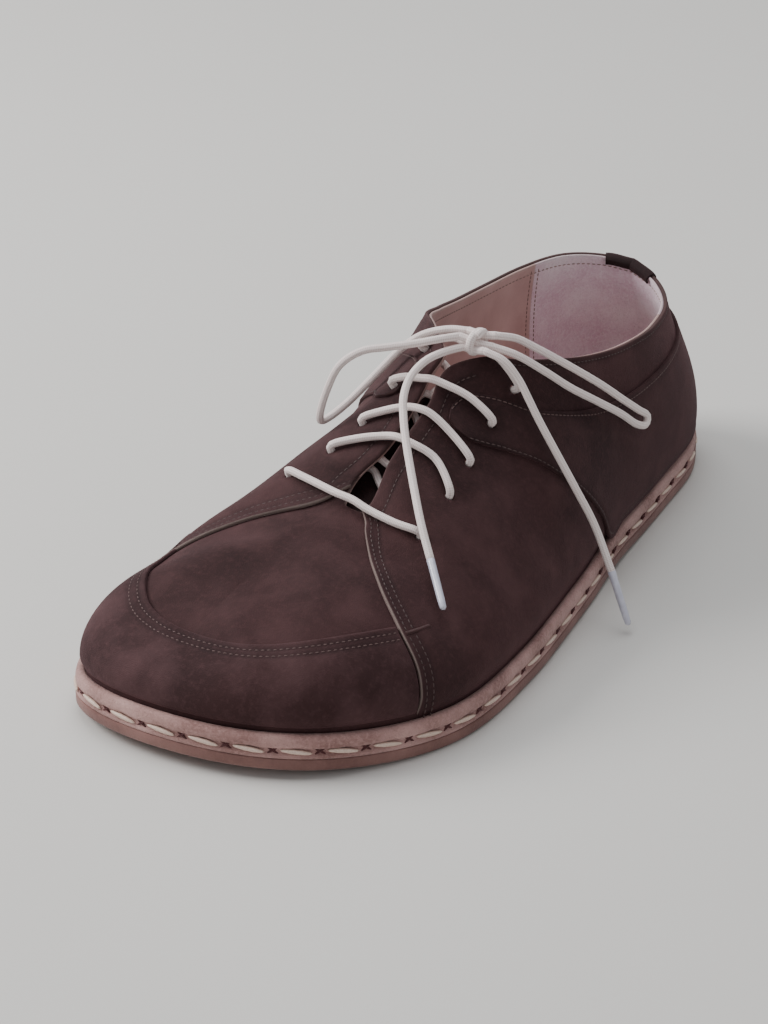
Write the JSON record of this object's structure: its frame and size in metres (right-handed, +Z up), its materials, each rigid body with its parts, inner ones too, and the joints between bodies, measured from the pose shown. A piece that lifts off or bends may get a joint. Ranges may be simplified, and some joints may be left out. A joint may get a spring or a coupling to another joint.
{
  "type": "barefoot shoe",
  "caption": "Wide flat lace-up barefoot shoe for the left foot in dark brown nubuck, thin sole stitched on at the edge, toe guard, heel counter and tied laces.",
  "frame": {"origin": "centre of the shoe's box at the floor, measured without the loose lace parts", "axes": "+Y to the heel and -Y to the toe, +X to the outer side of the foot, +Z up; the shoe stands on Z = 0"},
  "size_m": [0.1307, 0.2833, 0.0925],
  "materials": {
    "outsole_rubber": "matt red brown sole sheet",
    "rand_leather": "matt pinkish brown leather strip with a fuzzy cut edge",
    "nubuck_upper": "dark brown nubuck, brushed",
    "nubuck_guard": "dark brown nubuck, brushed",
    "nubuck_counter": "dark brown nubuck, brushed",
    "nubuck_tab": "very dark brown nubuck, brushed",
    "nubuck_tongue": "dark brown nubuck, brushed",
    "insole_leather": "smooth tan leather",
    "lace_cotton": "off-white braided cotton",
    "aglet_plastic": "bluish white lace tip"
  },
  "bodies": {
    "root": {"outsole": "outsole_rubber", "rand": "rand_leather", "upper": "nubuck_upper", "toe_guard": "nubuck_guard", "heel_counter": "nubuck_counter", "heel_tab": "nubuck_tab", "insole": "insole_leather", "tongue": "nubuck_tongue", "lace_bars": "lace_cotton", "lace_knot": "lace_cotton", "lace_loop_outer": "lace_cotton", "lace_loop_inner": "lace_cotton", "lace_end_front": "lace_cotton", "lace_end_side": "lace_cotton", "aglet_front": "aglet_plastic", "aglet_side": "aglet_plastic"}
  },
  "joints": []
}
